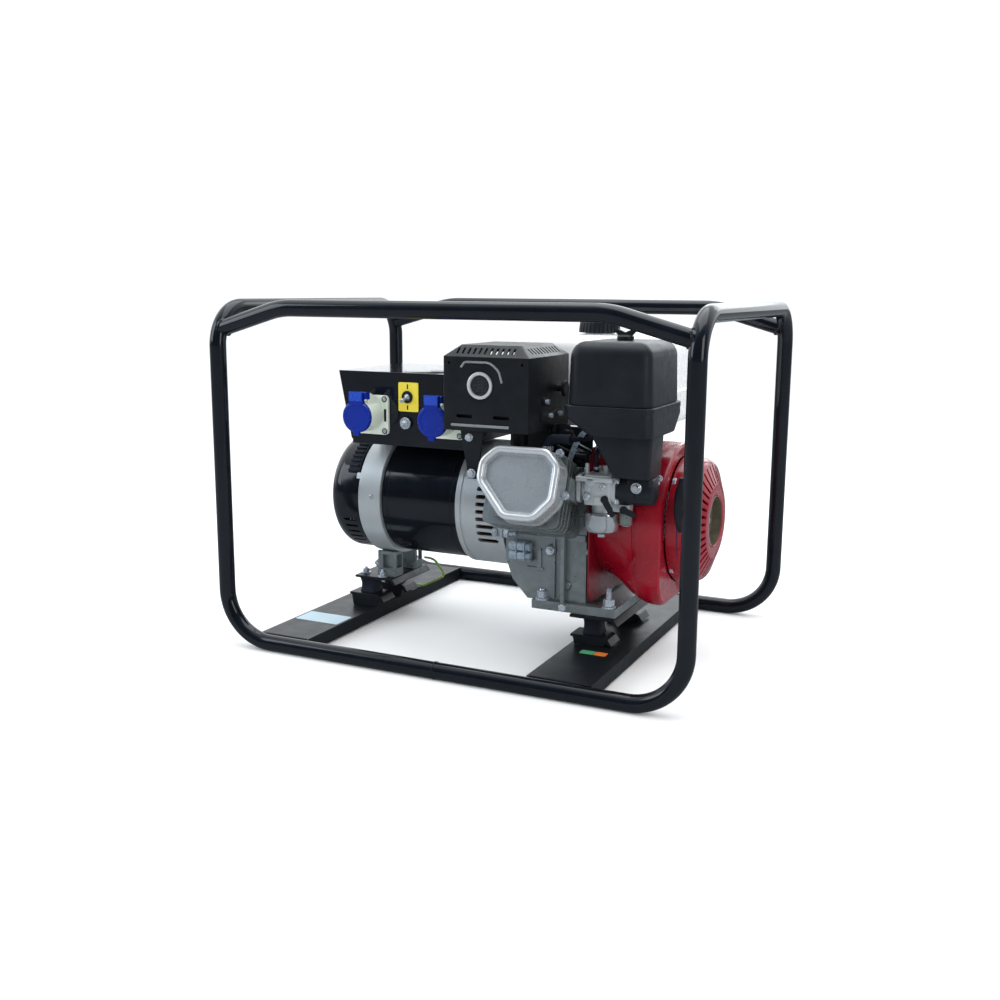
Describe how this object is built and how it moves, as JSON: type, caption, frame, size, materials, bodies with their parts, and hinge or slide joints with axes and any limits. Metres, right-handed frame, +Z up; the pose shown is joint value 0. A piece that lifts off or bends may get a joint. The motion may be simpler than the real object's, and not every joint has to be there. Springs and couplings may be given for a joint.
{
  "type": "portable generator",
  "caption": "Open-frame petrol generator: single-cylinder engine and alternator on rubber mounts in a bent tube frame, with a two-socket control box.",
  "frame": {"origin": "bottom centre of the frame, on the floor", "axes": "+X towards the recoil starter end, -Y towards the side with the sockets, muffler and air cleaner, +Z up"},
  "size_m": [0.7884, 0.5654, 0.5537],
  "materials": {
    "black_paint": "gloss black enamel",
    "black_steel": "satin black paint",
    "rubber": "moulded rubber",
    "cast_aluminium": "as-cast, lightly blasted",
    "zinc_steel": "zinc plated",
    "copper_iron": "varnished windings on laminated iron",
    "red_paint": "gloss red enamel",
    "white_paint": "gloss white enamel",
    "charcoal_plastic": "fine textured",
    "blue_plastic": "semi-gloss moulded",
    "socket_plastic": "pale grey-green moulded",
    "yellow_plastic": "satin",
    "filter_foam": "oiled foam"
  },
  "bodies": {
    "machine": {"frame_hoop_left": "black_paint", "frame_hoop_right": "black_paint", "top_rail_near": "black_paint", "top_rail_far": "black_paint", "base_channel_left": "black_paint", "base_channel_right": "black_paint", "stator_barrel": "black_paint", "control_box": "black_paint", "mount_foot_near_left": "black_steel", "mount_foot_far_left": "black_steel", "mount_foot_near_right": "black_steel", "mount_foot_far_right": "black_steel", "alternator_bracket": "black_steel", "engine_bracket": "black_steel", "alternator_end_cover": "black_steel", "muffler": "black_steel", "muffler_shield": "black_steel", "muffler_stay": "black_steel", "mount_rubber_near_left": "rubber", "mount_rubber_far_left": "rubber", "mount_rubber_near_right": "rubber", "mount_rubber_far_right": "rubber", "spark_plug_lead": "rubber", "fuel_hose": "rubber", "alternator_rear_ring": "cast_aluminium", "drive_end_shield": "cast_aluminium", "crankcase": "cast_aluminium", "cylinder_head": "cast_aluminium", "carburettor": "cast_aluminium", "float_bowl": "cast_aluminium", "piston": "zinc_steel", "oil_drain_bolt": "zinc_steel", "earth_terminal": "zinc_steel", "fan_shroud": "red_paint", "recoil_housing": "red_paint", "fuel_tank": "white_paint", "rocker_cover": "white_paint", "intake_elbow": "charcoal_plastic", "air_cleaner_duct": "charcoal_plastic", "air_cleaner_base": "charcoal_plastic", "air_cleaner_cover": "charcoal_plastic", "socket_left": "socket_plastic", "socket_right": "socket_plastic", "switch_plate": "yellow_plastic", "earth_wire": "yellow_plastic", "filter_element": "filter_foam"},
    "crank": {"crankshaft": "zinc_steel", "flywheel": "zinc_steel", "rotor": "copper_iron"},
    "lid_left": {"socket_lid_left": "blue_plastic"},
    "lid_right": {"socket_lid_right": "blue_plastic"},
    "toggle": {"toggle_lever": "zinc_steel"},
    "throttle": {"throttle_lever": "zinc_steel"},
    "choke": {"choke_lever": "charcoal_plastic"},
    "fuel_valve": {"fuel_valve_lever": "charcoal_plastic"},
    "cap": {"fuel_cap": "charcoal_plastic"},
    "air_knob": {"air_cleaner_knob": "charcoal_plastic"},
    "oil_cap": {"oil_filler_cap": "charcoal_plastic"},
    "pulley": {"starter_pulley": "charcoal_plastic"},
    "grip": {"starter_grip": "charcoal_plastic"}
  },
  "joints": [
    {"name": "crank_spin", "type": "hinge", "parent": "machine", "child": "crank", "pos_m": [0.1, 0, 0.222], "axis": [1, 0, 0], "continuous": true},
    {"name": "lid_left_hinge", "type": "hinge", "parent": "machine", "child": "lid_left", "pos_m": [-0.19, -0.1685, 0.4045], "axis": [-1, 0, 0], "range_deg": [0, 110], "stiffness_Nm_per_rad": 0.03, "springref_deg": -34.38},
    {"name": "lid_right_hinge", "type": "hinge", "parent": "machine", "child": "lid_right", "pos_m": [-0.055, -0.1685, 0.4045], "axis": [-1, 0, 0], "range_deg": [0, 110], "stiffness_Nm_per_rad": 0.03, "springref_deg": -34.38},
    {"name": "toggle_tilt", "type": "hinge", "parent": "machine", "child": "toggle", "pos_m": [-0.123, -0.1326, 0.402], "axis": [-1, 0, 0], "range_deg": [0, 28]},
    {"name": "throttle_turn", "type": "hinge", "parent": "machine", "child": "throttle", "pos_m": [0.183, -0.092, 0.322], "axis": [1, 0, 0], "range_deg": [-25, 30]},
    {"name": "choke_turn", "type": "hinge", "parent": "machine", "child": "choke", "pos_m": [0.222, -0.164, 0.272], "axis": [0, -1, 0], "range_deg": [0, 70]},
    {"name": "fuel_valve_turn", "type": "hinge", "parent": "machine", "child": "fuel_valve", "pos_m": [0.246, -0.148, 0.256], "axis": [0, 1, 0], "range_deg": [0, 70]},
    {"name": "fuel_cap_turn", "type": "hinge", "parent": "machine", "child": "cap", "pos_m": [0.12, 0.075, 0.51], "axis": [0, 0, 1], "range_deg": [0, 90]},
    {"name": "air_knob_turn", "type": "hinge", "parent": "machine", "child": "air_knob", "pos_m": [0.23, -0.113, 0.507], "axis": [0, 0, 1], "continuous": true},
    {"name": "oil_cap_turn", "type": "hinge", "parent": "machine", "child": "oil_cap", "pos_m": [0.155, 0.11, 0.13], "axis": [0, 1, 0], "continuous": true},
    {"name": "starter_pull", "type": "slide", "parent": "machine", "child": "grip", "axis": [0, -1, 0], "range_m": [0, 0.6], "stiffness_N_per_m": 20, "springref_m": -0.2},
    {"name": "starter_pulley_turn", "type": "hinge", "parent": "machine", "child": "pulley", "pos_m": [0.309, 0, 0.222], "axis": [1, 0, 0], "range_deg": [0, 820]}
  ],
  "couplings": [
    {"joint": "starter_pulley_turn", "follows": "starter_pull", "rad_per_m": 23.81}
  ]
}
